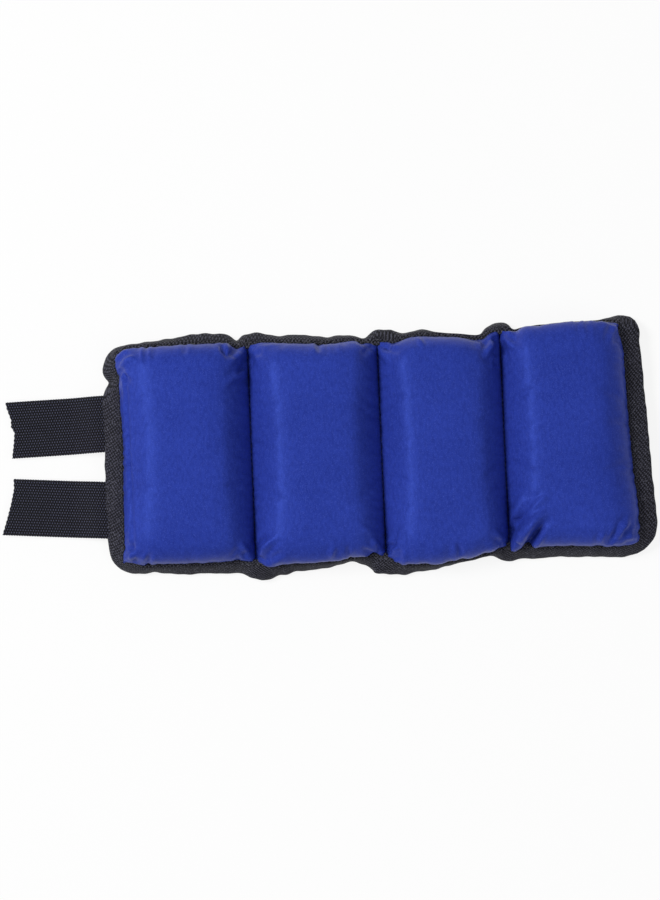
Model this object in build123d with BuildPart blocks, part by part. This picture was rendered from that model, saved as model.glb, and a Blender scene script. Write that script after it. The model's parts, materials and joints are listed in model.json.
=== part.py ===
"""Cold compression wrap: four sewn pockets with gel packs, a bound edge and two webbing straps.

Millimetres, +Z up. +X runs along the wrap, away from its straps. The origin is the centre of the
wrap's whole footprint, straps included, on the surface that it lies on. Pocket 1 is beside the straps.
"""

import os
from math import cos, radians, tan

from build123d import *

# Body: four pockets in a row, from the strap end, and the tape around them.
POCKET_WIDTHS = (56.0, 57.0, 54.0, 55.0)  # between the sewn lines
BODY_WIDTH = 102.0
BODY_CORNER = 9.0
END_FACE = 8.0  # face of the binding tape across each end
SIDE_FACE = 5.5  # face of the binding tape along each side, as seen from above
SEAM_HEIGHT = 7.0  # of the sewn lines above the table
FRONT_HEIGHT = 15.0  # of a filled pocket above its sewn lines
FABRIC = 0.6
TAPE = 0.7

# Pocket walls: they lean in from the sewn lines, which leaves room for the folds.
FRONT_LEAN = 32.0  # degrees from upright
BACK_LEAN = 42.0
POCKET_CORNER = 14.0
FRONT_ROUND = 12.0
BACK_ROUND = 4.0

# Gel pack: two films welded together round the gel.
FILM = 0.4
WELD_WIDTH = 3.0
GEL_CORNER = 11.0

# Folds: the channels between pockets, where the wrap bends.
CHANNEL_RADIUS = 0.6
CHANNEL_GAP = 0.3  # between a channel's sewn core and the fabric beside it
TAPE_GAP = 1.3  # from a fold line to the cut end of the tape beside it

# Straps.
WEBBING_WIDTH = 25.0
WEBBING = 1.2
STRAP_FREE = 44.0
STRAP_ROOT_Y = {"upper": 16.2, "lower": -21.8}
STRAP_TURN = {"upper": 1.3, "lower": -4.3}  # degrees about +Z
STRAP_LEVEL_RUN = 2.5  # straight out of the binding, before the strap bends down
STRAP_DROP_RUN = 9.0
STRAP_BEND = 8.0
HOOK_LENGTH = 26.0
HOOK_MARGIN = 1.5
HOOK_THICKNESS = 1.6

SLACK = 0.3  # between soft pieces that lie against each other
GEL_SLACK = 0.1
FIT = 0.1

# Places that follow from the sizes.
BODY_LENGTH = sum(POCKET_WIDTHS) + 2 * END_FACE
TOTAL_LENGTH = BODY_LENGTH + STRAP_FREE
RIGHT = TOTAL_LENGTH / 2
LEFT = RIGHT - BODY_LENGTH
TIP = -TOTAL_LENGTH / 2
BODY_CENTRE = (LEFT + RIGHT) / 2
SEWN_LINES = [LEFT + END_FACE + sum(POCKET_WIDTHS[:n]) for n in range(len(POCKET_WIDTHS) + 1)]
FOLDS = SEWN_LINES[1:-1]
FOLD_MARGIN = CHANNEL_RADIUS + CHANNEL_GAP  # from a fold line to the fabric beside its core
POCKET_HALF_WIDTH = BODY_WIDTH / 2 - SIDE_FACE - FIT
TAPE_HALF = FABRIC + TAPE  # half the thickness of the bound edge
INNER_OFFSET = FABRIC + SLACK  # from a cover's outside to the gel pack
RIM_OFFSET = INNER_OFFSET / cos(radians(BACK_LEAN))  # the same, measured along the sewn plane
WEB_TOP = SEAM_HEIGHT - TAPE_HALF
STRAP_AXIS_X = LEFT - WEBBING / 2 - CHANNEL_GAP
STRAP_AXIS_Z = WEB_TOP - WEBBING / 2
STRAP_LOW_Z = HOOK_THICKNESS + WEBBING / 2
CUT = 4 * FRONT_HEIGHT  # reach of a cutting block, past everything


def save(part, name):
    part.label = name
    export_step(part, f"parts/{name}.step")


def pocket_span(number):
    """Where the pocket's walls start: clear of the fold beside them, or of the binding's face."""
    low, high = SEWN_LINES[number], SEWN_LINES[number + 1]
    return (
        low + (FOLD_MARGIN + CHANNEL_GAP if low in FOLDS else FIT),
        high - (FOLD_MARGIN + CHANNEL_GAP if high in FOLDS else FIT),
    )


def margin_span(number):
    """How far the pocket's flat margin reaches: to the core of the fold, or into the end's tape."""
    low, high = SEWN_LINES[number], SEWN_LINES[number + 1]
    return (
        low + FOLD_MARGIN if low in FOLDS else LEFT + TAPE + FIT,
        high - FOLD_MARGIN if high in FOLDS else RIGHT - TAPE - FIT,
    )


def dome(number, side, down, corner, up):
    """One half of a filled shape, standing on the sewn plane and leaning in to a rounded crown.

    Its outline is `side` inside the pocket's, and its crown `down` below the pocket's crown.
    """
    low, high = pocket_span(number)
    height = FRONT_HEIGHT if up else SEAM_HEIGHT
    lean = FRONT_LEAN if up else BACK_LEAN
    rounding = (FRONT_ROUND if up else BACK_ROUND) - down / 2
    base = Plane(origin=((low + high) / 2, 0, SEAM_HEIGHT), z_dir=(0, 0, 1 if up else -1))
    with BuildPart() as made:
        with BuildSketch(base):
            RectangleRounded(high - low - 2 * side, 2 * (POCKET_HALF_WIDTH - side), corner)
        extrude(amount=height - down, taper=lean)
        crown = made.faces().sort_by(Axis.Z)[-1 if up else 0]
        fillet(crown.edges(), rounding)
    return made.part


def cover(number, up):
    """One fabric cover of a pocket: its filled shape, and the flat margin sewn into the edges."""
    margin_low, margin_high = margin_span(number)
    wall = FABRIC / cos(radians(BACK_LEAN))
    outside = dome(number, 0, 0, POCKET_CORNER, up)
    inside = dome(number, wall, FABRIC, POCKET_CORNER - wall, up)
    inset = TAPE + FIT
    with BuildPart() as made:
        with BuildSketch(Plane.XY.offset(SEAM_HEIGHT if up else SEAM_HEIGHT - FABRIC)):
            with Locations((BODY_CENTRE, 0)):
                RectangleRounded(
                    BODY_LENGTH - 2 * inset, BODY_WIDTH - 2 * inset, BODY_CORNER - inset
                )
            with Locations(((margin_low + margin_high) / 2, 0)):
                Rectangle(margin_high - margin_low, BODY_WIDTH, mode=Mode.INTERSECT)
        extrude(amount=FABRIC)
        add(outside)
        add(inside, mode=Mode.SUBTRACT)
    return made.part


def pack_half(number, inward, up):
    """Half of the gel pack's filled shape, or the same shape that far inside it."""
    side = RIM_OFFSET + WELD_WIDTH + inward
    return dome(number, side, INNER_OFFSET + inward, GEL_CORNER - inward, up)


def pack_film(number):
    """Both films of the gel pack, welded in a flat rim at the sewn plane."""
    low, high = pocket_span(number)
    with BuildPart() as made:
        with BuildSketch(Plane.XY.offset(SEAM_HEIGHT - FILM)):
            with Locations(((low + high) / 2, 0)):
                RectangleRounded(
                    high - low - 2 * RIM_OFFSET,
                    2 * (POCKET_HALF_WIDTH - RIM_OFFSET),
                    POCKET_CORNER - RIM_OFFSET,
                )
        extrude(amount=2 * FILM)
        add([pack_half(number, 0, up) for up in (True, False)])
        add([pack_half(number, FILM, up) for up in (True, False)], mode=Mode.SUBTRACT)
    return made.part


def gel(number):
    """The gel, with a little air round it."""
    with BuildPart() as made:
        add([pack_half(number, FILM + GEL_SLACK, up) for up in (True, False)])
    return made.part


def binding_ring():
    """The tape round the body, folded over its edge: a channel that holds the covers' margins."""
    with BuildPart() as ring:
        with BuildSketch(Plane.XY.offset(SEAM_HEIGHT)):
            with Locations((BODY_CENTRE, 0)):
                RectangleRounded(BODY_LENGTH, BODY_WIDTH, BODY_CORNER)
                RectangleRounded(
                    BODY_LENGTH - 2 * END_FACE,
                    BODY_WIDTH - 2 * SIDE_FACE,
                    BODY_CORNER - SIDE_FACE,
                    mode=Mode.SUBTRACT,
                )
        extrude(amount=TAPE_HALF, both=True)
        with BuildSketch(Plane.XY.offset(SEAM_HEIGHT)):
            with Locations((BODY_CENTRE, 0)):
                RectangleRounded(BODY_LENGTH - 2 * TAPE, BODY_WIDTH - 2 * TAPE, BODY_CORNER - TAPE)
        extrude(amount=FABRIC, both=True, mode=Mode.SUBTRACT)
    return ring.part


def tape_piece(ring, x_low, x_high, y_low, y_high):
    """The stretch of the tape inside these limits."""
    with BuildPart() as piece:
        add(ring)
        with BuildSketch(Plane.XY):
            with Locations(((x_low + x_high) / 2, (y_low + y_high) / 2)):
                Rectangle(x_high - x_low, y_high - y_low)
        extrude(amount=CUT, mode=Mode.INTERSECT)
    return piece.part


def channel_core(fold_x):
    """The sewn core of a fold: both covers and the thread, drawn together along the fold line."""
    with BuildPart() as core:
        with BuildSketch(Plane.XZ.offset(-BODY_WIDTH / 2)):
            with Locations((fold_x, SEAM_HEIGHT)):
                Circle(CHANNEL_RADIUS)
        extrude(amount=BODY_WIDTH)
    return core.part


def strap_centre_y(side, x):
    """Where the strap's middle runs: it leaves the binding at a small turn from square."""
    return STRAP_ROOT_Y[side] + (x - LEFT) * tan(radians(STRAP_TURN[side]))


def strip_outline(side, x_low, x_high, width):
    """The outline of a piece of webbing seen from above, cut square to the wrap at both ends."""
    half = width / 2 / cos(radians(STRAP_TURN[side]))
    low_y, high_y = strap_centre_y(side, x_low), strap_centre_y(side, x_high)
    Polygon(
        (x_low, low_y - half),
        (x_high, high_y - half),
        (x_high, high_y + half),
        (x_low, low_y + half),
        align=None,
    )


def strap(side):
    """The free webbing: out of the binding, down to the table and flat over its hook patch."""
    level_end = STRAP_AXIS_X - STRAP_LEVEL_RUN
    drop_end = level_end - STRAP_DROP_RUN
    with BuildPart() as made:
        with BuildLine(Plane.XZ) as path:
            FilletPolyline(
                (STRAP_AXIS_X, STRAP_AXIS_Z),
                (level_end, STRAP_AXIS_Z),
                (drop_end, STRAP_LOW_Z),
                (TIP, STRAP_LOW_Z),
                radius=STRAP_BEND,
            )
        with BuildSketch(Plane(origin=path.line @ 0, z_dir=path.line % 0)):
            Rectangle(BODY_WIDTH, WEBBING, rotation=90)
        sweep()
        with BuildSketch(Plane.XZ.offset(-BODY_WIDTH / 2)):
            with Locations((STRAP_AXIS_X, STRAP_AXIS_Z)):
                Circle(WEBBING / 2)
        extrude(amount=BODY_WIDTH)
        with BuildSketch(Plane.XY):
            strip_outline(side, TIP, LEFT, WEBBING_WIDTH)
        extrude(amount=CUT, mode=Mode.INTERSECT)
    return made.part


def flat_strip(side, x_low, x_high, width, z_low, thickness):
    """A flat piece of the strap's outline: its sewn root, or the hook patch under its tip."""
    with BuildPart() as made:
        with BuildSketch(Plane.XY.offset(z_low)):
            strip_outline(side, x_low, x_high, width)
        extrude(amount=thickness)
    return made.part


def main():
    os.makedirs("parts", exist_ok=True)

    for number in range(len(POCKET_WIDTHS)):
        name = f"pocket_{number + 1}"
        save(cover(number, up=True), f"{name}_front_cover")
        save(cover(number, up=False), f"{name}_back_cover")
        save(pack_film(number), f"{name}_pack_film")
        save(gel(number), f"{name}_gel")

    ring = binding_ring()
    half = BODY_WIDTH / 2
    end_low, end_high = LEFT + BODY_CORNER, RIGHT - BODY_CORNER
    save(tape_piece(ring, LEFT, end_low, -half, half), "binding_strap_end")
    save(tape_piece(ring, end_high, RIGHT, -half, half), "binding_far_end")
    starts = [end_low, *(fold + TAPE_GAP for fold in FOLDS)]
    ends = [*(fold - TAPE_GAP for fold in FOLDS), end_high]
    for number, (low, high) in enumerate(zip(starts, ends), start=1):
        save(tape_piece(ring, low, high, 0, half), f"binding_upper_{number}")
        save(tape_piece(ring, low, high, -half, 0), f"binding_lower_{number}")

    for number, fold_x in enumerate(FOLDS, start=1):
        save(channel_core(fold_x), f"channel_seam_{number}")

    anchor_low = STRAP_AXIS_X + WEBBING / 2 + CHANNEL_GAP
    hook_low = TIP + HOOK_MARGIN
    for side in STRAP_ROOT_Y:
        anchor = flat_strip(
            side, anchor_low, LEFT + END_FACE, WEBBING_WIDTH, WEB_TOP - WEBBING, WEBBING
        )
        hooks = flat_strip(
            side,
            hook_low,
            hook_low + HOOK_LENGTH,
            WEBBING_WIDTH - 2 * HOOK_MARGIN,
            0,
            HOOK_THICKNESS,
        )
        save(anchor, f"strap_{side}_anchor")
        save(strap(side), f"strap_{side}_webbing")
        save(hooks, f"strap_{side}_hook_patch")


main()
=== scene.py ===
"""Cold compression wrap: four filled pockets, a bound edge and two webbing straps."""

import json
import math

import bpy
import numpy as np
from mathutils import Matrix, Vector, noise


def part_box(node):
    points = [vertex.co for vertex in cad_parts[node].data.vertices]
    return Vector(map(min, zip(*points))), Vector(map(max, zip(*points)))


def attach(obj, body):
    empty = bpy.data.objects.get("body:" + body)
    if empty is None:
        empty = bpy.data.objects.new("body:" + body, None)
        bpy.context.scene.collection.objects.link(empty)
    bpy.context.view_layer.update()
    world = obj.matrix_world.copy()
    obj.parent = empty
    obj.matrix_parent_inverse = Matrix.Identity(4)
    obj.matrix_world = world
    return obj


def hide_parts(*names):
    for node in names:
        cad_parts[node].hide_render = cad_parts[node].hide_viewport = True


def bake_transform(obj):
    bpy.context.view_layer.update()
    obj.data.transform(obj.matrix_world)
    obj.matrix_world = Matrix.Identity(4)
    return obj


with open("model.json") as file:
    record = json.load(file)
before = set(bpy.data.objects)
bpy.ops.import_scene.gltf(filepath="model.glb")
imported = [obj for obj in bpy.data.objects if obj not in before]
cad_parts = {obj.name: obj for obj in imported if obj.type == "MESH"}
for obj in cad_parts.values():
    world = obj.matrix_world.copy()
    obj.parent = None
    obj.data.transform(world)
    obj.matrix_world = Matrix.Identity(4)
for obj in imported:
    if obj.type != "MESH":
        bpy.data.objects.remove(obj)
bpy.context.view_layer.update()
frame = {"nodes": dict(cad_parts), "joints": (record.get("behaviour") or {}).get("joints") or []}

MM = 0.001

# Places that the frame gives, in millimetres.
joints = {j["name"]: j for j in frame["joints"]}
FOLDS = [joints[f"fold_{n}"]["pos_m"][0] / MM for n in (1, 2, 3)]
SEAM_Z = joints["fold_1"]["pos_m"][2] / MM
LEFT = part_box("binding_strap_end")[0][0] / MM
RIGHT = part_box("binding_far_end")[1][0] / MM
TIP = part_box("strap_upper_webbing")[0][0] / MM
CROWN_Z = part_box("pocket_2_front_cover")[1][2] / MM
SIDES = ("upper", "lower")

# The tape, and the places along the row where it and the folds are sewn.
TAPE_FACE = 8.3  # from the sewn line to the folded edge
TAPE_LAP = 1.6  # over the cover
SEWN_LEFT = LEFT + 7.3
SEWN_RIGHT = RIGHT - 8.8
SEWN = [SEWN_LEFT, *FOLDS, SEWN_RIGHT]


def smooth(x, low, high):
    t = np.clip((np.asarray(x, float) - low) / (high - low), 0, 1)
    return t * t * (3 - 2 * t)


def bump(x, centre, width):
    """1 at centre, falling smoothly to 0 at width away."""
    t = np.clip(np.abs(np.asarray(x, float) - centre) / width, 0, 1)
    return (1 - t * t) ** 2


def bumps(x, features):
    """The sum of bumps given as (centre, width, height)."""
    total = np.zeros_like(np.asarray(x, float))
    for centre, width, height in features:
        total = total + height * bump(x, centre, width)
    return total


def through(x, points):
    """A smooth curve through (position, value) points."""
    xs, ys = zip(*points)
    x = np.clip(np.asarray(x, float), xs[0], xs[-1])
    k = np.clip(np.searchsorted(xs, x) - 1, 0, len(xs) - 2)
    xs, ys = np.array(xs, float), np.array(ys, float)
    t = (x - xs[k]) / (xs[k + 1] - xs[k])
    return ys[k] + (ys[k + 1] - ys[k]) * t * t * (3 - 2 * t)


def ripple(x, seed, length):
    """Gentle random waves along a line, from -1 to 1."""
    flat = np.atleast_1d(np.asarray(x, float)).ravel()
    values = [noise.noise(Vector((v / length, seed * 7.31, seed * 1.7))) for v in flat]
    return np.array(values).reshape(np.shape(np.atleast_1d(x))) * 1.6


# The sewn line along each long side, as distance from the middle.
FAR_LINE = [
    (SEWN_LEFT, 46.8), (-84, 48.2), (-50, 48.8), (-42, 48.4), (-38, 46.6), (FOLDS[0], 48.4),
    (-24, 48.2), (-6, 47.2), (0, 46.6), (14, 47.6), (18, 46.0), (FOLDS[1], 47.4), (30, 46.2),
    (42, 48.6), (56, 47.8), (66, 46.4), (70, 46.2), (75, 49.6), (81, 50.0), (84, 47.6), (90, 49.4),
    (112, 50.6), (SEWN_RIGHT, 50.4),
]
NEAR_LINE = [
    (SEWN_LEFT, 45.4), (-80, 46.2), (-50, 46.4), (-40, 46.0), (FOLDS[0], 47.8), (-26, 48.6),
    (-16, 47.6), (0, 47.4), (10, 46.0), (20, 45.4), (FOLDS[1], 47.8), (32, 50.2), (46, 50.2),
    (58, 48.8), (68, 47.0), (74, 45.2), (FOLDS[2], 45.0), (94, 45.2), (126, 46.4), (SEWN_RIGHT, 45.6),
]
# How far the tape turns down from level, in degrees, along each long side.
FAR_TURN = [
    (SEWN_LEFT, 78), (-84, 78), (-62, 56), (-45, 48), (-38, 72), (-32, 48), (-26, 52), (-24, 63),
    (-5, 62), (12, 70), (18, 84), (25, 44), (31, 40), (36, 76), (43, 68), (55, 90), (72, 86),
    (75, 68), (81, 64), (84, 88), (122, 88), (SEWN_RIGHT, 66),
]
NEAR_TURN = [
    (SEWN_LEFT, 55), (-84, 64), (-80, 72), (-66, 62), (-50, 60), (-36, 47), (-30, 26), (-24, 58),
    (-6, 70), (10, 84), (17, 45), (23, 4), (27, 40), (33, 60), (44, 74), (64, 90), (70, 90), (75, 32),
    (80, 50), (100, 58), (SEWN_RIGHT, 56),
]


# The same across each end.
STRAP_END_TURN = [(-46, 40), (-38, 22), (-20, 12), (28, 12), (34, 60), (39, 36), (46, 66)]
FAR_END_TURN = 7
# The far end is sewn a little further out than the tape's lap, and aslant.
FAR_END_SHIFT = 1.0
FAR_END_SLOPE = 0.040


def straight(x, points):
    """The value at x on straight runs between (position, value) points."""
    return np.interp(x, *zip(*points))


def side_y(x, side):
    return side * through(x, FAR_LINE if side > 0 else NEAR_LINE)


def end_x(y, end):
    """The sewn line across each end."""
    if end < 0:
        return SEWN_LEFT + bumps(y, [(42, 7, -1.6), (36, 4, 0.8), (-44, 6, -1.4), (6, 20, 0.5)])
    aslant = SEWN_RIGHT + FAR_END_SHIFT - FAR_END_SLOPE * np.asarray(y, float)
    return aslant + bumps(y, [(44, 8, -0.8), (-30, 16, 0.5)])


# ---------------------------------------------------------------- materials


def material(name, rough, sheen=0.0, specular=0.5, sheen_rough=0.4):
    mat = bpy.data.materials.new(name)
    mat.use_nodes = True
    shader = mat.node_tree.nodes["Principled BSDF"]
    shader.inputs["Roughness"].default_value = rough
    shader.inputs["Sheen Weight"].default_value = sheen
    shader.inputs["Sheen Roughness"].default_value = sheen_rough
    shader.inputs["Specular IOR Level"].default_value = specular
    return mat, shader


def node(mat, kind, **values):
    made = mat.node_tree.nodes.new(kind)
    for key, value in values.items():
        if key in made.inputs:
            made.inputs[key].default_value = value
        else:
            setattr(made, key, value)
    return made


def link(mat, a, b):
    mat.node_tree.links.new(a, b)


def coords(mat, scale=(1, 1, 1), rotation=(0, 0, 0)):
    place = node(mat, "ShaderNodeTexCoord")
    mapping = node(mat, "ShaderNodeMapping")
    mapping.inputs["Scale"].default_value = scale
    mapping.inputs["Rotation"].default_value = rotation
    link(mat, place.outputs["Object"], mapping.inputs["Vector"])
    return mapping.outputs["Vector"]


def noise_of(mat, vector, scale, detail=2.0, rough=0.5):
    made = node(mat, "ShaderNodeTexNoise")
    made.inputs["Scale"].default_value = scale
    made.inputs["Detail"].default_value = detail
    made.inputs["Roughness"].default_value = rough
    link(mat, vector, made.inputs["Vector"])
    return made.outputs["Fac"]


def ramp(mat, value, stops):
    made = node(mat, "ShaderNodeValToRGB")
    elements = made.color_ramp.elements
    while len(elements) < len(stops):
        elements.new(0.5)
    for element, (at, colour) in zip(elements, stops):
        element.position = at
        element.color = (*colour, 1)
    link(mat, value, made.inputs["Fac"])
    return made.outputs["Color"]


def maths(mat, operation, a, b=None, clamp=False):
    made = node(mat, "ShaderNodeMath", operation=operation, use_clamp=clamp)
    for slot, value in zip(made.inputs, (a, b)):
        if value is None:
            continue
        if isinstance(value, (int, float)):
            slot.default_value = value
        else:
            link(mat, value, slot)
    return made.outputs["Value"]


def mix(mat, factor, a, b, blend="MIX"):
    made = node(mat, "ShaderNodeMix", data_type="RGBA", blend_type=blend)
    for slot, value in ((made.inputs[0], factor), (made.inputs[6], a), (made.inputs[7], b)):
        if isinstance(value, (int, float)):
            slot.default_value = value
        elif isinstance(value, tuple):
            slot.default_value = (*value, 1)
        else:
            link(mat, value, slot)
    return made.outputs[2]


def bump_of(mat, shader, height, strength, distance):
    made = node(mat, "ShaderNodeBump")
    made.inputs["Strength"].default_value = strength
    made.inputs["Distance"].default_value = distance
    link(mat, height, made.inputs["Height"])
    link(mat, made.outputs["Normal"], shader.inputs["Normal"])


def srgb(r, g, b):
    return tuple(((c / 255 + 0.055) / 1.055) ** 2.4 if c > 10 else c / 255 / 12.92 for c in (r, g, b))


def cover_material():
    mat, shader = material("cover_nylon", 0.42, specular=0.3)
    shader.inputs["Specular Tint"].default_value = (*srgb(96, 128, 255), 1)
    base = coords(mat)
    broad = noise_of(mat, base, 45, 3)
    fine = noise_of(mat, base, 2600, 2, 0.7)
    grain = noise_of(mat, coords(mat, (1, 0.45, 1)), 900, 3, 0.6)
    tone = ramp(mat, broad, [(0.3, srgb(39, 56, 147)), (0.7, srgb(44, 62, 158))])
    # painted shade: darker blue where the grain noise is low, standing in for shade in the pits of the weave
    pit_shade = ramp(mat, grain, [(0.36, (1.0, 1.0, 1.0)), (0.6, (0.0, 0.0, 0.0))])
    dark = mix(mat, maths(mat, "MULTIPLY", pit_shade, 0.36), tone, srgb(24, 36, 112))
    # painted glints: where the fine noise is high, the blue is mixed towards a pale blue, standing in for
    # tiny highlights on the satin
    painted_glints = maths(mat, "GREATER_THAN", fine, 0.6)
    colour = mix(mat, maths(mat, "MULTIPLY", painted_glints, 0.3), dark, srgb(84, 104, 206))
    link(mat, colour, shader.inputs["Base Color"])
    ribs = node(mat, "ShaderNodeTexWave", wave_type="BANDS", bands_direction="Y")
    ribs.inputs["Scale"].default_value = 620
    ribs.inputs["Distortion"].default_value = 1.2
    link(mat, base, ribs.inputs["Vector"])
    height = maths(mat, "ADD", maths(mat, "MULTIPLY", ribs.outputs["Fac"], 0.35), fine)
    bump_of(mat, shader, height, 0.28, 0.00012)
    return mat


def tape_material():
    """Twill tape: two crossed sets of fine ribs, with painted highlight where both stand up, and scattered
    pale specks.
    """
    mat, shader = material("binding_twill", 0.7, sheen=0.04, specular=0.18)
    base = coords(mat)
    ribs = []
    for tilt, angle, scale in ((44, -26, 320), (-50, 35, 370)):
        rib = node(mat, "ShaderNodeTexWave", wave_type="BANDS", bands_direction="X")
        rib.inputs["Scale"].default_value = scale
        rib.inputs["Distortion"].default_value = 1.0
        rib.inputs["Detail Scale"].default_value = 2.0
        link(mat, coords(mat, rotation=(0, math.radians(tilt), math.radians(angle))), rib.inputs["Vector"])
        ribs.append(rib.outputs["Fac"])
    crossed = maths(mat, "MULTIPLY", *ribs)
    fibres = noise_of(mat, base, 1500, 2, 0.65)
    broad = noise_of(mat, base, 90, 2)
    tone = ramp(mat, broad, [(0.3, srgb(4, 4, 9)), (0.75, srgb(12, 12, 20))])
    # painted highlight: the dark tape is mixed towards pale grey where both sets of ribs stand up
    lit = mix(mat, maths(mat, "MULTIPLY", crossed, 0.8), tone, srgb(88, 88, 104))
    speck = maths(mat, "MULTIPLY", maths(mat, "GREATER_THAN", fibres, 0.6), 0.4)
    link(mat, mix(mat, speck, lit, srgb(112, 112, 126)), shader.inputs["Base Color"])
    height = maths(mat, "ADD", crossed, maths(mat, "MULTIPLY", fibres, 0.5))
    bump_of(mat, shader, height, 0.8, 0.00035)
    return mat


def webbing_material():
    """Yarns with painted light on their crowns and painted shade in the gaps, from the height that the mesh
    stores.
    """
    mat, shader = material("strap_webbing", 0.55, sheen=0.0, specular=0.18)
    base = coords(mat)
    fibres = noise_of(mat, coords(mat, (0.25, 1, 1)), 3200, 2, 0.6)
    broad = noise_of(mat, base, 140, 3)
    yarn = node(mat, "ShaderNodeAttribute", attribute_name="relief", attribute_type="GEOMETRY")
    # painted light and shade: the yarn relief maps to near black in the gaps and pale grey-blue on the
    # crowns
    crown = ramp(mat, yarn.outputs["Fac"], [(0.5, srgb(1, 1, 3)), (1.0, srgb(98, 100, 128))])
    worn = mix(mat, maths(mat, "MULTIPLY", fibres, 0.2), crown, srgb(30, 30, 40))
    link(mat, mix(mat, maths(mat, "MULTIPLY", broad, 0.3), worn, srgb(4, 4, 8)), shader.inputs["Base Color"])
    bump_of(mat, shader, fibres, 0.5, 0.0001)
    return mat


def thread_material(name, low, high):
    mat, shader = material(name, 0.55, sheen=0.2)
    twist = node(mat, "ShaderNodeTexWave", wave_type="BANDS", bands_direction="DIAGONAL")
    twist.inputs["Scale"].default_value = 900
    link(mat, coords(mat), twist.inputs["Vector"])
    # painted light and shade: the twist's bands go from the low colour, painted shade in the grooves, to the
    # high colour, painted light on the plies
    link(mat, ramp(mat, twist.outputs["Fac"], [(0.2, low), (0.8, high)]), shader.inputs["Base Color"])
    bump_of(mat, shader, twist.outputs["Fac"], 0.5, 0.0001)
    return mat


def film_material():
    mat, shader = material("pack_film", 0.2, specular=0.5)
    crinkle = noise_of(mat, coords(mat), 160, 3)
    tone = ramp(mat, crinkle, [(0.3, srgb(196, 214, 226)), (0.7, srgb(220, 233, 240))])
    link(mat, tone, shader.inputs["Base Color"])
    shader.inputs["Alpha"].default_value = 0.55
    bump_of(mat, shader, crinkle, 0.4, 0.0006)
    return mat


def gel_material():
    mat, shader = material("gel", 0.15, specular=0.5)
    cloud = noise_of(mat, coords(mat), 60, 4)
    tone = ramp(mat, cloud, [(0.3, srgb(84, 150, 206)), (0.7, srgb(120, 182, 226))])
    link(mat, tone, shader.inputs["Base Color"])
    bump_of(mat, shader, cloud, 0.2, 0.0008)
    return mat


COVER = cover_material()
TAPE = tape_material()
WEBBING = webbing_material()
# each thread's two colours are one dye, shaded and lit, for the painted light and shade of its twist
TAPE_THREAD = thread_material("tape_thread", srgb(10, 10, 16), srgb(52, 52, 64))
SEAM_THREAD = thread_material("seam_thread", srgb(10, 14, 50), srgb(26, 36, 104))
HOOKS = thread_material("hook_nylon", srgb(16, 16, 20), srgb(48, 48, 56))
FILM = film_material()
GEL = gel_material()


# ---------------------------------------------------------------- mesh helpers


def piece(name, points, faces, mat, smooth_faces=True):
    """A mesh object from points in millimetres."""
    mesh = bpy.data.meshes.new(name)
    mesh.from_pydata((np.asarray(points, float) * MM).tolist(), [], [tuple(f) for f in faces])
    mesh.materials.append(mat)
    mesh.update()
    if smooth_faces:
        mesh.shade_smooth()
    made = bpy.data.objects.new(name, mesh)
    bpy.context.scene.collection.objects.link(made)
    return made


def coordinates(mesh):
    co = np.zeros(len(mesh.vertices) * 3, np.float32)
    mesh.vertices.foreach_get("co", co)
    return co.reshape(-1, 3).astype(float)


def set_coordinates(mesh, points):
    mesh.vertices.foreach_set("co", np.asarray(points, np.float32).ravel())
    mesh.update()


def applied(made, kind, name="change", **values):
    """The piece's mesh, changed by one modifier."""
    modifier = made.modifiers.new(name, kind)
    for key, value in values.items():
        setattr(modifier, key, value)
    graph = bpy.context.evaluated_depsgraph_get()
    mesh = bpy.data.meshes.new_from_object(made.evaluated_get(graph), depsgraph=graph)
    made.modifiers.clear()
    old = made.data
    made.data = mesh
    bpy.data.meshes.remove(old)
    return made


# ---------------------------------------------------------------- pockets

COLUMNS = 40
ROWS = 64
# Each layer before it is filled: how square its shoulders are, how far in from its ends it reaches
# its full height, and that height.
FRONT_LAYER = (3.9, 14.0, CROWN_Z - SEAM_Z)
BACK_LAYER = (3.0, 15.0, SEAM_Z)
SIM_SCALE = 10.0
SIM_FRAMES = 26
# A filled pocket is eased to stop this far over the CAD crown, and on the surface that it lies on.
CROWN_MARGIN = 0.6
CROWN_EASE = 3
BASE_EASE = 2.0
BASE_SOFTNESS = 1.4


def pocket_grid(number):
    """A pillow of two layers, joined all round on its sewn lines: its points, faces and edge points."""
    low, high = SEWN[number], SEWN[number + 1]
    s = np.linspace(-1, 1, COLUMNS + 1)
    s = np.sign(s) * (1 - (1 - np.abs(s)) ** 1.15)
    t = np.linspace(-1, 1, ROWS + 1)
    t = np.sign(t) * (1 - (1 - np.abs(t)) ** 1.12)
    points, index = [], {}
    for layer in (1, -1):
        for i in range(COLUMNS + 1):
            for j in range(ROWS + 1):
                edge = i in (0, COLUMNS) or j in (0, ROWS)
                if edge and layer < 0:
                    index[layer, i, j] = index[1, i, j]
                    continue
                x = low + (high - low) * (s[i] + 1) / 2
                near, far = float(side_y(x, -1)), float(side_y(x, 1))
                y = near + (far - near) * (t[j] + 1) / 2
                if number == 0:
                    shift = float(end_x(y, -1)) - SEWN_LEFT
                    x += shift * (1 - (s[i] + 1) / 2)
                if number == 3:
                    shift = float(end_x(y, 1)) - SEWN_RIGHT
                    x += shift * (s[i] + 1) / 2
                power, reach, height = FRONT_LAYER if layer > 0 else BACK_LAYER
                across = 1 - abs(s[i]) ** power
                inward = min(y - near, far - y)
                along = 1 - max(0.0, 1 - inward / reach) ** 2.5
                full = 0.0 if min(across, along) < 1e-6 else (across**-2 + along**-2 - 1) ** -0.5
                index[layer, i, j] = len(points)
                points.append((x, y, SEAM_Z + layer * height * full))
    faces = []
    for layer in (1, -1):
        for i in range(COLUMNS):
            for j in range(ROWS):
                ring = [index[layer, a, b] for a, b in ((i, j), (i + 1, j), (i + 1, j + 1), (i, j + 1))]
                faces.append(ring if layer > 0 else ring[::-1])
    edges = sorted({index[1, i, j] for i in range(COLUMNS + 1) for j in range(ROWS + 1)
                    if i in (0, COLUMNS) or j in (0, ROWS)})
    return np.array(points), faces, edges


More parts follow.
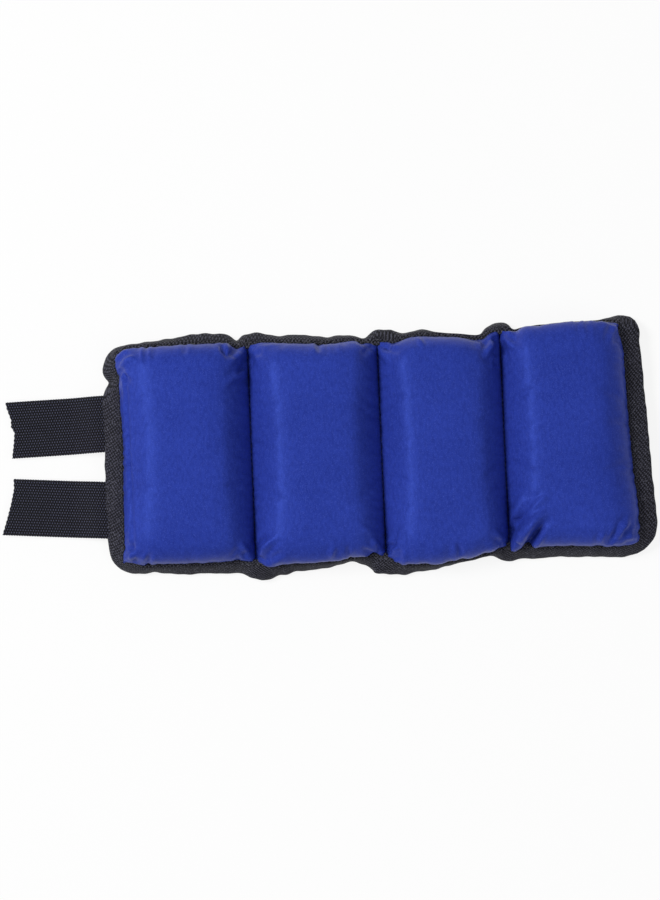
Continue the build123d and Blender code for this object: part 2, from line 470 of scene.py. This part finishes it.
def keep_to_fold(points, low, high, number):
    """Keeps a pocket's walls on its own side of its folds, with room for the folds to close."""
    up = np.maximum(points[:, 2] - SEAM_Z, 0)
    down = np.maximum(SEAM_Z - points[:, 2], 0)
    room = 0.05 + 0.28 * up + 0.78 * down
    room = np.where((up < 0.02) & (down < 0.02), 0, room)
    if number > 0:
        points[:, 0] = np.maximum(points[:, 0], low + room)
    if number < 3:
        points[:, 0] = np.minimum(points[:, 0], high - room)
    return points


# Creases and puckers, each as (pocket, from, to, width, height): a soft ridge along a line.
CREASES = [
    (3, (78, -47), (96, -27), 4.4, 3.6),
    (3, (86, -45), (93, -34), 2.8, -2.8),
    (3, (79, -38), (89, -25), 2.6, -1.9),
    (3, (86, -31), (97, -22), 2.6, 1.0),
    (3, (79, -33), (86, -20), 2.4, 0.8),
    (3, (125, -42), (131, -34), 2.4, 1.2),
    (3, (121, -45), (126, -38), 2.0, -1.0),
    (3, (117, -45), (119, -39), 2.0, 0.9),
    (3, (80, 46), (86, 38), 2.2, 1.2),
    (3, (79, 44), (81, 34), 1.8, -1.1),
    (3, (128, 48), (124, 40), 2.4, 1.0),
    (2, (26, 45), (34, 40), 2.2, -1.2),
    (2, (25, 44), (29, 35), 2.0, 1.1),
    (2, (26, -47), (32, -41), 2.2, 1.2),
    (2, (27, -43), (30, -33), 1.8, -0.9),
    (2, (74, 44), (70, 36), 2.4, 1.3),
    (2, (76, 42), (75, 30), 1.8, -0.9),
    (2, (75, -42), (70, -38), 2.2, 1.0),
    (2, (42, 47), (44, 42), 2.0, 0.8),
    (2, (56, -47), (54, -42), 2.0, -0.8),
    (1, (-31, -46), (-25, -39), 2.4, 1.7),
    (1, (-31, -41), (-28, -33), 1.8, -1.1),
    (1, (-27, -47), (-20, -43), 2.0, -1.0),
    (1, (-31, 46), (-27, 38), 2.2, 1.0),
    (1, (22, 46), (17, 40), 2.2, -1.0),
    (1, (22, -45), (17, -38), 2.4, 1.1),
    (1, (20, -47), (12, -43), 2.0, -1.0),
    (1, (-2, 46), (-1, 41), 2.2, -0.9),
    (1, (0, -46), (2, -41), 2.2, 0.9),
    (1, (8, -46), (7, -42), 1.8, -0.8),
    (0, (-35, 45), (-42, 38), 2.6, 1.3),
    (0, (-34, 41), (-38, 33), 1.8, -1.0),
    (0, (-44, 47), (-40, 40), 2.0, -1.0),
    (0, (-35, -45), (-40, -38), 2.2, 1.0),
    (0, (-88, -44), (-82, -38), 2.6, 1.3),
    (0, (-80, -46), (-78, -41), 2.0, -1.0),
    (0, (-88, 42), (-80, 44), 2.4, 1.2),
    (0, (-88, 38), (-83, 30), 2.0, -1.0),
    (0, (-60, 48), (-60, 43), 2.2, -0.7),
    (0, (-86.3, 36), (-86.0, -30), 1.3, -1.0),
    (0, (-85.6, -44), (-86.2, 16), 1.3, -0.8),
    (0, (-34, 36), (-46, 28), 2.6, 0.8),
    (1, (-31, -43), (-22, -36), 2.6, 2.1),
    (1, (20, -38), (12, -34), 2.4, 0.7),
]


def add_creases(points, normals, number):
    for pocket, start, end, width, height in CREASES:
        if pocket != number:
            continue
        a, b = np.array(start, float), np.array(end, float)
        run = b - a
        length = np.hypot(*run)
        offset = points[:, :2] - a
        t = offset @ run / length**2
        nearest = a + np.clip(t, 0, 1)[:, None] * run
        away = np.hypot(*(points[:, :2] - nearest).T)
        fade = (0.6 + 0.4 * smooth(t, 0, 0.25)) * (1 - smooth(t, 0.4, 1.0))
        crest = np.exp(-((away / (0.5 * width)) ** 2))
        trough = np.exp(-(((away - width) / (0.45 * width)) ** 2))
        ridge = crest - 0.45 * trough
        upper = points[:, 2] > SEAM_Z + 0.05
        points += normals * (height * ridge * fade * upper)[:, None]
    return points


# How far a full pocket bulges out over its sewn line: near side, far side, strap end, far end.
BULGE = [(1.7, 1.5, 2.2, 0), (3.0, 1.3, 0, 0), (2.6, 0.6, 0, 0), (2.2, 2.8, 0, 2.0)]
BULGE_REACH = 15.0


def bulge_out(points, number):
    near, far, strap_end, far_end = BULGE[number]
    x, y = points[:, 0].copy(), points[:, 1].copy()
    up = points[:, 2] - SEAM_Z
    lift = np.sin(math.pi * np.clip(up / 17.0, 0, 1)) ** 0.8
    down = 0.35 * np.sin(math.pi * np.clip(-up / SEAM_Z, 0, 1))
    lift = lift + down
    corner = np.ones(len(points))
    for fold in (SEWN[number], SEWN[number + 1]):
        if fold in FOLDS:
            corner = corner * (0.45 + 0.55 * smooth(np.abs(x - fold), 0.5, 5.0))
    for side, amount in ((-1, near), (1, far)):
        away = np.abs(y - side_y(x, side))
        points[:, 1] += side * amount * lift * bump(away, 0, BULGE_REACH) * corner
    for end, amount in ((-1, strap_end), (1, far_end)):
        if amount:
            away = np.abs(x - end_x(y, end))
            points[:, 0] += end * amount * lift * bump(away, 0, BULGE_REACH)
    return points


def stitch_puckers(points, normals, low, high, number):
    """The small gathers that a sewn line leaves in the cloth beside it."""
    y, up = points[:, 1], points[:, 2] > SEAM_Z + 0.05
    for line, side in ((low, 1), (high, -1)):
        away = np.abs(points[:, 0] - line)
        seed = number * 2 + (side > 0) + 3
        pitch = 5.2
        wave = np.sin(2 * math.pi * (y / pitch + ripple(y, seed, 14.0)))
        strength = 0.16 + 0.3 * np.clip(ripple(y, seed + 40, 22.0), 0, 1)
        points += normals * (wave * strength * bump(away, 2.6, 4.2) * up)[:, None]
    x = points[:, 0]
    for side in (1, -1):
        line = side_y(x, side)
        away = np.abs(y - line)
        seed = number * 2 + (side > 0) + 21
        wave = np.sin(2 * math.pi * (x / 8.5 + 1.6 * ripple(x, seed, 15.0)))
        strength = 0.05 + 0.55 * np.clip(ripple(x, seed + 40, 14.0), 0, 1)
        points += normals * (wave * strength * bump(away, 3.2, 5.5) * up)[:, None]
    return points


def vertex_normals(mesh):
    normals = np.zeros(len(mesh.vertices) * 3, np.float32)
    mesh.vertices.foreach_get("normal", normals)
    return normals.reshape(-1, 3).astype(float)


def fill_as_cloth(pillows):
    """Blows the pillows up as cloth, held along their sewn lines, at ten times their size."""
    for pillow, edges in pillows:
        set_coordinates(pillow.data, coordinates(pillow.data) * SIM_SCALE)
        group = pillow.vertex_groups.new(name="sewn")
        group.add(edges, 1.0, "REPLACE")
        cloth = pillow.modifiers.new("fill", "CLOTH")
        settings = cloth.settings
        settings.quality = 8
        settings.mass = 0.02
        settings.air_damping = 2.0
        settings.tension_stiffness = 24
        settings.compression_stiffness = 24
        settings.shear_stiffness = 10
        settings.bending_stiffness = 0.6
        settings.use_pressure = True
        settings.uniform_pressure_force = 26
        settings.vertex_group_mass = "sewn"
        settings.shrink_min = -0.035
        settings.effector_weights.gravity = 0
        cloth.point_cache.frame_start = 1
        cloth.point_cache.frame_end = SIM_FRAMES
        cloth.collision_settings.use_self_collision = False
        cloth.collision_settings.use_collision = False
    scene = bpy.context.scene
    scene.frame_start, scene.frame_end = 1, SIM_FRAMES
    for step in range(1, SIM_FRAMES + 1):
        scene.frame_set(step)
    graph = bpy.context.evaluated_depsgraph_get()
    for pillow, _ in pillows:
        filled = coordinates(pillow.evaluated_get(graph).data)
        pillow.modifiers.clear()
        set_coordinates(pillow.data, filled / SIM_SCALE)
        pillow.vertex_groups.clear()
    scene.frame_set(1)


def held_between(z):
    """Heights eased towards the crown above and the surface below, so that neither is passed."""
    ease_from = CROWN_Z + CROWN_MARGIN - CROWN_EASE
    over = np.maximum(z - ease_from, 0)
    z = np.where(z > ease_from, ease_from + CROWN_EASE * (1 - np.exp(-over / CROWN_EASE)), z)
    under = np.maximum(BASE_EASE - z, 0)
    return np.where(z < BASE_EASE, BASE_EASE - BASE_EASE * (1 - np.exp(-under / BASE_SOFTNESS)), z)


def finish_pocket(pillow, edges, number):
    """Shapes, smooths and creases a filled pillow, and ties it to its body."""
    low, high = SEWN[number], SEWN[number + 1]
    points = coordinates(pillow.data) / MM
    points[:, 2] = held_between(points[:, 2])
    points = bulge_out(points, number)
    points = keep_to_fold(points, low, high, number)
    set_coordinates(pillow.data, points * MM)
    sewn = set(edges)
    crease = pillow.data.attributes.new("crease_edge", "FLOAT", "EDGE")
    for edge in pillow.data.edges:
        crease.data[edge.index].value = float(sewn.issuperset(edge.vertices))
    applied(pillow, "SUBSURF", levels=1, render_levels=1)
    points = coordinates(pillow.data) / MM
    normals = vertex_normals(pillow.data)
    points = add_creases(points, normals, number)
    points = stitch_puckers(points, normals, low, high, number)
    points = keep_to_fold(points, low, high, number)
    set_coordinates(pillow.data, points * MM)
    pillow.data.shade_smooth()
    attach(pillow, f"panel_{number + 1}")
    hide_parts(f"pocket_{number + 1}_front_cover", f"pocket_{number + 1}_back_cover")


def make_pockets():
    pillows = []
    for number in range(4):
        points, faces, edges = pocket_grid(number)
        pillows.append((piece(f"pocket_cover_{number + 1}", points, faces, COVER), edges))
    fill_as_cloth(pillows)
    for number, (pillow, edges) in enumerate(pillows):
        finish_pocket(pillow, edges, number)


# ---------------------------------------------------------------- binding tape

# The radius of the sewn line at each corner: the side, then the end.
CORNERS = {("far", "strap"): 4.0, ("near", "strap"): 7.0, ("far", "tip"): 2.0, ("near", "tip"): 8.0}
CORNER_STEPS = 12
STEP = 1.0  # along the tape
TAPE_HALF = 1.15  # of the thickness of the folded tape
POINT = 1.6  # how far the tape sticks out at its far tip corner
SPLITS = [(FOLDS[0] + FOLDS[1]) / 2, (FOLDS[1] + FOLDS[2]) / 2]


def rounded_corner(a, b, from_side):
    """Points on an arc from the end of one run to the start of the next."""
    made = []
    for t in np.linspace(0, 1, CORNER_STEPS)[1:-1]:
        angle = t * math.pi / 2
        ways = math.sin(angle), 1 - math.cos(angle)
        way_x, way_y = ways if from_side else ways[::-1]
        turn = a[2] + (b[2] - a[2]) * float(smooth(t, 0, 1))
        made.append((a[0] + (b[0] - a[0]) * way_x, a[1] + (b[1] - a[1]) * way_y, turn))
    return made


def sewn_loop():
    """The closed line that the tape is sewn along, with the way out and the turn at each point."""
    xs = np.arange(SEWN_LEFT + CORNERS["far", "strap"], SEWN_RIGHT - CORNERS["far", "tip"], STEP)
    far = [(x, float(side_y(x, 1)), float(straight(x, FAR_TURN))) for x in xs]
    xs = np.arange(SEWN_LEFT + CORNERS["near", "strap"], SEWN_RIGHT - CORNERS["near", "tip"], STEP)
    near = [(x, float(side_y(x, -1)), float(straight(x, NEAR_TURN))) for x in xs[::-1]]
    top, bottom = far[-1][1] - CORNERS["far", "tip"], near[0][1] + CORNERS["near", "tip"]
    ys = np.arange(bottom, top, STEP)[::-1]
    right = [(float(end_x(y, 1)), y, FAR_END_TURN) for y in ys]
    top, bottom = far[0][1] - CORNERS["far", "strap"], near[-1][1] + CORNERS["near", "strap"]
    ys = np.arange(bottom, top, STEP)
    left = [(float(end_x(y, -1)), y, float(straight(y, STRAP_END_TURN))) for y in ys]

    return np.array(
        far + rounded_corner(far[-1], right[0], True) + right + rounded_corner(right[-1], near[0], False)
        + near + rounded_corner(near[-1], left[0], True) + left + rounded_corner(left[-1], far[0], False)
    )


def even_out(loop, step):
    """The same closed line, divided into even steps."""
    closed = np.vstack([loop, loop[:1]])
    gaps = np.hypot(*np.diff(closed[:, :2], axis=0).T)
    run = np.concatenate([[0], np.cumsum(gaps)])
    count = int(round(run[-1] / step))
    at = np.linspace(0, run[-1], count, endpoint=False)
    return np.stack([np.interp(at, run, closed[:, k]) for k in range(loop.shape[1])], 1), run[-1]


def smoothed(values, rounds):
    for _ in range(rounds):
        values = 0.5 * values + 0.25 * (np.roll(values, 1, 0) + np.roll(values, -1, 0))
    return values


loop, loop_length = even_out(sewn_loop(), STEP)
loop = smoothed(loop, 6)
tangent = np.roll(loop[:, :2], -1, 0) - np.roll(loop[:, :2], 1, 0)
tangent = smoothed(tangent, 10)
tangent /= np.hypot(*tangent.T)[:, None]
outward = np.stack([-tangent[:, 1], tangent[:, 0]], 1)
arc = np.arange(len(loop)) * loop_length / len(loop)
level = SEAM_Z + 0.35 * ripple(arc, 5, 16.0)


def tape_profile():
    """The tape folded over the edge, as (out, up) in a loop: front leg, fold, back leg, inside."""
    w, h = TAPE_FACE, TAPE_HALF
    return [
        (-TAPE_LAP, h + 0.25), (-TAPE_LAP + 0.5, h + 0.5), (0.2, h + 0.15), (1.2, h + 0.3), (2.6, h + 0.42),
        (4.4, h + 0.35), (6.2, h + 0.22), (w - 1.2, h), (w - 0.35, h * 0.62), (w, 0), (w - 0.35, -h * 0.62),
        (w - 1.2, -h), (6.0, -h - 0.1), (3.6, -h - 0.15), (1.0, -h), (-TAPE_LAP + 0.5, -h - 0.1),
        (-TAPE_LAP, -h + 0.1), (-TAPE_LAP, -0.45), (0.0, -0.35), (0.0, 0.35), (-TAPE_LAP, 0.45),
    ]


def tape_point(k, out, up):
    """A point of the tape's section at step k, with the tape turned down about its sewn line."""
    turn = math.radians(loop[k, 2])
    pivot = 0.6
    bend = max(out - pivot, 0)
    lean = turn * min(1.0, bend / 2.0)
    c, s = math.cos(lean), math.sin(lean)
    over = min(out, pivot) + bend * c + up * s
    rise = -bend * s + up * c
    x, y = loop[k, :2] + outward[k] * over
    return x, y, max(level[k] + rise, 0.25)


def wavy(k, out, up):
    """The same point on the finished tape, which is a little wavy and creased."""
    x, y, z = tape_point(k, out, up)
    p = Vector((x / 7.0, y / 7.0, 3.3))
    q = Vector((x / 2.6, y / 2.6, 9.1))
    loose = max(out, 0) / TAPE_FACE
    z = z + loose * (0.7 * noise.noise(p) + 0.35 * noise.noise(q))
    across_end = abs(outward[k, 0]) > 0.7
    shift = loose * (0.4 if across_end else 0.9) * noise.noise(Vector((x / 5.0, y / 5.0, 17.0)))
    shift += loose * POINT * float(bump(math.hypot(x - SEWN_RIGHT, y - float(side_y(SEWN_RIGHT, 1))), 0, 15))
    x, y = np.array((x, y)) + outward[k] * shift
    return x, y, max(z, 0.25)


def which_part(x):
    return int(x > SPLITS[0]) + int(x > SPLITS[1])


PARTS = "strap_end", "middle", "far_end"


def bend_at_fold(made):
    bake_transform(made)


def make_binding():
    profile = tape_profile()
    count, around = len(loop), len(profile)
    points = np.array([wavy(k, out, up) for k in range(count) for out, up in profile])
    parts = [[], [], []]
    for k in range(count):
        nxt = (k + 1) % count
        middle = (loop[k, 0] + loop[nxt, 0]) / 2
        for j in range(around):
            jn = (j + 1) % around
            face = (k * around + j, nxt * around + j, nxt * around + jn, k * around + jn)
            parts[which_part(middle)].append(face)
    whole = piece("binding_whole", points, [f for p in parts for f in p], TAPE)
    normals = vertex_normals(whole.data)
    bpy.data.objects.remove(whole)
    nodes = {
        0: ["binding_strap_end", "binding_upper_1", "binding_lower_1"],
        1: ["binding_upper_2", "binding_lower_2", "binding_upper_3", "binding_lower_3"],
        2: ["binding_far_end", "binding_upper_4", "binding_lower_4"],
    }
    for part, faces in enumerate(parts):
        used = sorted({v for f in faces for v in f})
        index = {v: n for n, v in enumerate(used)}
        made = piece(f"binding_{PARTS[part]}", points[used], [[index[v] for v in f] for f in faces], TAPE)
        made.data.normals_split_custom_set_from_vertices([tuple(n) for n in normals[used]])
        bend_at_fold(made)
        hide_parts(*nodes[part])


def capsule(a, b, radius, sides=6, sag=0.25):
    """One stitch: a short thread that dives into the cloth at both ends."""
    a, b = np.array(a, float), np.array(b, float)
    run = b - a
    length = np.linalg.norm(run)
    run = run / length
    side = np.cross(run, (0, 0, 1.0))
    side = side / np.linalg.norm(side)
    up = np.cross(side, run)
    points, faces = [], []
    rings = [(0.0, 0.25, -sag), (0.14, 0.85, 0.05), (0.5, 1.0, 0.3), (0.86, 0.85, 0.05), (1.0, 0.25, -sag)]
    for at, swell, rise in rings:
        centre = a + run * length * at + up * rise * radius * 2
        for n in range(sides):
            angle = 2 * math.pi * n / sides
            points.append(centre + (side * math.cos(angle) + up * math.sin(angle)) * radius * swell)
    for r in range(len(rings) - 1):
        for n in range(sides):
            m = (n + 1) % sides
            faces.append((r * sides + n, r * sides + m, (r + 1) * sides + m, (r + 1) * sides + n))
    faces.append(tuple(range(sides))[::-1])
    faces.append(tuple(range((len(rings) - 1) * sides, len(rings) * sides)))
    return points, faces


def joined(shapes):
    points, faces = [], []
    for p, f in shapes:
        base = len(points)
        points.extend(p)
        faces.extend([tuple(v + base for v in face) for face in f])
    return points, faces


STITCH = 2.6
STITCH_LENGTH = 2.0
THREAD = 0.2


def make_tape_stitches():
    """A zigzag that holds both legs of the tape, seen on the front and the back."""
    parts = [[], [], []]
    every = STITCH / (loop_length / len(loop))
    count = int(len(loop) / every)
    for n in range(count):
        k = int(n * every) % len(loop)
        k2 = int((n + STITCH_LENGTH / STITCH) * every) % len(loop)
        for front in (1, -1):
            height = (TAPE_HALF + 0.3) if front > 0 else -(TAPE_HALF + 0.15)
            a = wavy(k, 0.35, height)
            b = wavy(k2, 0.95, height)
            if n % 2:
                a, b = wavy(k, 0.95, height), wavy(k2, 0.35, height)
            parts[which_part((a[0] + b[0]) / 2)].append(capsule(a, b, THREAD))
    for part, shapes in enumerate(parts):
        points, faces = joined(shapes)
        made = piece(f"tape_stitches_{PARTS[part]}", points, faces, TAPE_THREAD)
        bend_at_fold(made)


def make_channel_seams():
    """The thread along each fold, in the crevice between two pockets, front and back."""
    for number, x in enumerate(FOLDS, start=1):
        near, far = float(side_y(x, -1)) + 1, float(side_y(x, 1)) - 1
        shapes = []
        for front in (1, -1):
            y = near
            while y < far - STITCH_LENGTH:
                z = SEAM_Z + front * 0.1
                shapes.append(capsule((x, y, z), (x, y + STITCH_LENGTH, z), THREAD))
                y += STITCH
        points, faces = joined(shapes)
        made = piece(f"channel_stitches_{number}", points, faces, SEAM_THREAD)
        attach(made, "panel_3" if number == 3 else "panel_2")
        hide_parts(f"channel_seam_{number}")


# ---------------------------------------------------------------- straps

WEBBING_WIDTH = 25.0
WEBBING_THICK = 1.2
PITCH = 1.13  # of the weave along the strap
PITCH_ACROSS = 1.18
RELIEF = 0.26
GRID = 0.19


def strap_facts(side):
    anchor_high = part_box(f"strap_{side}_anchor")[1]
    hook_low, hook_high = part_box(f"strap_{side}_hook_patch")
    root = joints[f"strap_{side}_bend"]["pos_m"]
    hook_x = (hook_low[0] + hook_high[0]) / 2
    hook_y = (hook_low[1] + hook_high[1]) / 2
    turn = (hook_y - root[1]) / (hook_x - root[0])
    return {
        "root": (root[0] / MM, root[1] / MM, root[2] / MM),
        "slope": turn,
        "end_x": anchor_high[0] / MM,
        "hook": (hook_low[0] / MM, hook_high[0] / MM, hook_high[2] / MM),
    }


def strap_height(x, facts):
    """The middle of the webbing: level under the tape, then down to lie on its hook patch."""
    high = facts["root"][2]
    low = facts["hook"][2] + WEBBING_THICK / 2
    root_x = facts["root"][0]
    return high + (low - high) * smooth(-np.asarray(x, float), -(root_x - 1.8), -(root_x - 15.5))


def weave(u, v):
    """The relief of the webbing: rows of rounded yarns, each row shifted by half a yarn."""
    row = np.floor(v / PITCH_ACROSS)
    along = u / PITCH + 0.5 * (row % 2)
    a = np.cos(2 * math.pi * along) * 0.5 + 0.5
    b = np.sin(math.pi * (v / PITCH_ACROSS - row))
    return a**0.8 * np.clip(b, 0, 1) ** 0.7


# Each strap's cut end, as (place across the strap, how far in from the tip).
CUT_ENDS = {
    "upper": [(-12.5, 2.4), (-5, 3.4), (-1, 3.7), (1.5, 2.3), (4.5, 2.4), (10, 0.6), (12.5, 0.2)],
    "lower": [(-12.5, -3.0), (-6, -0.9), (1, 1.1), (8, 2.7), (12.5, 2.7)],
}


def tip_x(v, side):
    return TIP + straight(v, CUT_ENDS[side]) + 0.12 * np.sin(v * 3.1)


def make_strap(side):
    facts = strap_facts(side)
    half = WEBBING_WIDTH / 2
    stop_x = facts["end_x"]
    nu = int((stop_x - TIP) / GRID)
    nv = int(WEBBING_WIDTH / (GRID * 1.15))
    u = np.linspace(0, 1, nu + 1)
    v = np.linspace(-half, half, nv + 1)
    U, V = np.meshgrid(u, v, indexing="ij")
    tips = tip_x(v, side)[None, :]
    X = tips + (stop_x - tips) * U
    edge = half - np.abs(V)
    selvedge = 0.08 * np.sin(2 * math.pi * X / PITCH) * smooth(-edge, -0.9, 0)
    Y = facts["root"][1] + (X - facts["root"][0]) * facts["slope"] + V * (1 + selvedge / half)
    root_x = facts["root"][0]
    free = smooth(-X, -(root_x - 4), -(root_x - 12))
    mid = strap_height(X, facts) + 0.12 * np.sin(X / 5.0 + V / 6.0) * free
    thick = WEBBING_THICK / 2 - RELIEF
    rounded = np.sqrt(np.clip(1 - (1 - np.clip(edge / 0.7, 0, 1)) ** 2, 0, 1))
    cut = np.sqrt(np.clip(1 - (1 - np.clip((X - tips) / 0.5, 0, 1)) ** 2, 0.15, 1))
    relief = weave(X - TIP, V) * RELIEF * 2
    swell = (thick + relief - RELIEF * 0.4) * np.maximum(rounded * cut, 0.12)
    points = np.concatenate([np.stack([X, Y, z], -1).reshape(-1, 3) for z in (mid + swell, mid - swell)])
    base = (nu + 1) * (nv + 1)
    index = np.arange(base).reshape(nu + 1, nv + 1)
    a, b = index[:-1, :-1].ravel(), index[1:, :-1].ravel()
    c, d = index[1:, 1:].ravel(), index[:-1, 1:].ravel()
    faces = np.stack([a, b, c, d], 1).tolist() + (np.stack([d, c, b, a], 1) + base).tolist()
    rim = [*index[:, 0], *index[-1, 1:], *index[-2::-1, -1], *index[0, -2:0:-1]]
    for p, q in zip(rim, rim[1:] + rim[:1]):
        faces.append((int(q), int(p), int(p) + base, int(q) + base))
    made = piece(f"strap_{side}", points, faces, WEBBING)
    shade = made.data.attributes.new("relief", "FLOAT", "POINT")
    shade.data.foreach_set("value", np.tile(weave(X - TIP, V).ravel(), 2).astype(np.float32))
    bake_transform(made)
    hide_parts(f"strap_{side}_webbing", f"strap_{side}_anchor")
    return facts


HOOK_INSET = 1.5  # from the webbing's long edges
HOOK_BASE = 0.55  # the thickness of the patch under its hooks
HOOK_PITCH = 1.5
HOOK_EDGE = 0.8  # kept clear round the patch, and behind the webbing's cut end
# One hook, as (way along, way down from the base, radius).
HOOK_PATH = [(0, 0, 0.22), (0.02, 0.5, 0.19), (0.2, 0.9, 0.17), (0.5, 0.86, 0.15), (0.62, 0.6, 0.1)]


def make_hook_patch(side, facts):
    """A base with rows of small hooks under it, trimmed to the webbing's cut end."""
    low_x, high_x, top = facts["hook"]
    half = WEBBING_WIDTH / 2 - HOOK_INSET
    shapes = []
    base_low = top - HOOK_BASE

    def place(u, v, z):
        low = max(low_x, float(tip_x(v, side)) + HOOK_EDGE)
        x = low + (u - low_x) * (high_x - low) / (high_x - low_x)
        return (x, facts["root"][1] + (x - facts["root"][0]) * facts["slope"] + v, z)

    rows = 12
    points, faces = [], []
    for z in (base_low, top - 0.02):
        for i in range(rows + 1):
            for j in range(rows + 1):
                u = low_x + (high_x - low_x) * i / rows
                v = -half + 2 * half * j / rows
                points.append(place(u, v, z + (0.05 * math.sin(i * 1.7 + j) if z == base_low else 0)))
    size = (rows + 1) ** 2
    for i in range(rows):
        for j in range(rows):
            a, b = i * (rows + 1) + j, (i + 1) * (rows + 1) + j
            c, d = b + 1, a + 1
            faces.append((d, c, b, a))
            faces.append((a + size, b + size, c + size, d + size))
    rim = [i * (rows + 1) for i in range(rows + 1)] + [rows * (rows + 1) + j for j in range(1, rows + 1)]
    rim += [i * (rows + 1) + rows for i in range(rows - 1, -1, -1)] + [j for j in range(rows - 1, 0, -1)]
    for p, q in zip(rim, rim[1:] + rim[:1]):
        faces.append((p, q, q + size, p + size))
    shapes.append((points, faces))
    count_u = int((high_x - low_x - 2 * HOOK_EDGE) / HOOK_PITCH)
    count_v = int((2 * half - 2 * HOOK_EDGE) / HOOK_PITCH)
    for i in range(count_u + 1):
        for j in range(count_v + 1):
            u = low_x + HOOK_EDGE + i * HOOK_PITCH
            v = -half + HOOK_EDGE + j * HOOK_PITCH + (0.3 if i % 2 else 0)
            points, faces = [], []
            for shift, drop, r in HOOK_PATH:
                z = max(base_low - drop, 0.06)
                for n in range(5):
                    angle = 2 * math.pi * n / 5
                    points.append(place(u + shift + r * math.cos(angle) * 0.8, v + r * math.sin(angle), z))
            for r in range(len(HOOK_PATH) - 1):
                for n in range(5):
                    m = (n + 1) % 5
                    faces.append((r * 5 + n, (r + 1) * 5 + n, (r + 1) * 5 + m, r * 5 + m))
            faces.append(tuple(range((len(HOOK_PATH) - 1) * 5, len(HOOK_PATH) * 5)))
            shapes.append((points, faces))
    points, faces = joined(shapes)
    made = piece(f"hook_patch_{side}", points, faces, HOOKS)
    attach(made, f"strap_{side}")
    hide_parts(f"strap_{side}_hook_patch")


# ---------------------------------------------------------------- stage

VIEW_ROLL = math.radians(2.4)
VIEW_ELEVATION = math.radians(86.0)
VIEW_CENTRE = Vector((1.4, 0.4, SEAM_Z)) * MM
VIEW_DISTANCE = 1.15
FRAME_WIDTH = 289.5 * MM
FLOOR_WHITE = 0.86  # how much of the floor, as the camera sees it, is plain white


def make_stage():
    floor_size = 6.0
    mesh = bpy.data.meshes.new("floor")
    h = floor_size / 2
    mesh.from_pydata([(-h, -h, 0), (h, -h, 0), (h, h, 0), (-h, h, 0)], [], [(0, 1, 2, 3)])
    floor = bpy.data.objects.new("floor", mesh)
    bpy.context.scene.collection.objects.link(floor)
    mat = bpy.data.materials.new("floor")
    mat.use_nodes = True
    shader = mat.node_tree.nodes["Principled BSDF"]
    shader.inputs["Roughness"].default_value = 0.9
    shader.inputs["Specular IOR Level"].default_value = 0.1
    grain = noise_of(mat, coords(mat), 30, 2)
    pale = ramp(mat, grain, [(0.0, (0.86, 0.86, 0.86)), (1.0, (0.88, 0.88, 0.88))])
    link(mat, pale, shader.inputs["Base Color"])
    paper = node(mat, "ShaderNodeEmission")
    rays = node(mat, "ShaderNodeLightPath")
    seen = maths(mat, "MAXIMUM", rays.outputs["Is Camera Ray"], rays.outputs["Is Glossy Ray"])
    seen = maths(mat, "MAXIMUM", seen, rays.outputs["Is Transmission Ray"])
    both = node(mat, "ShaderNodeMixShader")
    link(mat, maths(mat, "MULTIPLY", seen, FLOOR_WHITE), both.inputs[0])
    link(mat, shader.outputs["BSDF"], both.inputs[1])
    link(mat, paper.outputs["Emission"], both.inputs[2])
    link(mat, both.outputs["Shader"], mat.node_tree.nodes["Material Output"].inputs["Surface"])
    mesh.materials.append(mat)

    world = bpy.data.worlds.new("studio")
    bpy.context.scene.world = world
    world.use_nodes = True
    world.node_tree.nodes["Background"].inputs["Color"].default_value = (1, 1, 1, 1)
    world.node_tree.nodes["Background"].inputs["Strength"].default_value = 0.30

    def lamp(name, place, size, power):
        light = bpy.data.lights.new(name, "AREA")
        light.shape = "DISK"
        light.size = size
        light.energy = power
        made = bpy.data.objects.new(name, light)
        made.location = place
        made.rotation_euler = (VIEW_CENTRE - Vector(place)).to_track_quat("-Z", "Y").to_euler()
        bpy.context.scene.collection.objects.link(made)

    lamp("key", (-1.15, 0.34, 1.4), 0.75, 26.5)
    lamp("fill", (0.8, -0.6, 1.2), 1.0, 5.0)

    camera = bpy.data.cameras.new("camera")
    camera.sensor_fit = "HORIZONTAL"
    camera.sensor_width = 36.0
    camera.lens = 36.0 * VIEW_DISTANCE / FRAME_WIDTH
    made = bpy.data.objects.new("camera", camera)
    bpy.context.scene.collection.objects.link(made)
    back = Vector((0, -math.cos(VIEW_ELEVATION), math.sin(VIEW_ELEVATION)))
    made.location = VIEW_CENTRE + back * VIEW_DISTANCE
    up = Vector((math.sin(VIEW_ROLL), math.cos(VIEW_ROLL), 0))
    right = up.cross(back).normalized()
    up = back.cross(right).normalized()
    made.matrix_world = Matrix((
        (right.x, up.x, back.x, made.location.x),
        (right.y, up.y, back.y, made.location.y),
        (right.z, up.z, back.z, made.location.z),
        (0, 0, 0, 1),
    ))
    scene = bpy.context.scene
    scene.camera = made
    scene.view_settings.view_transform = "Standard"


def finish_cad_nodes():
    """The gel packs stay as the frame has them, inside the pockets, in their own materials."""
    for number in range(1, 5):
        for end, mat in (("pack_film", FILM), ("gel", GEL)):
            mesh = frame["nodes"][f"pocket_{number}_{end}"].data
            mesh.materials.clear()
            mesh.materials.append(mat)


make_pockets()
make_binding()
make_tape_stitches()
make_channel_seams()
for strap_side in SIDES:
    make_hook_patch(strap_side, make_strap(strap_side))
finish_cad_nodes()
make_stage()
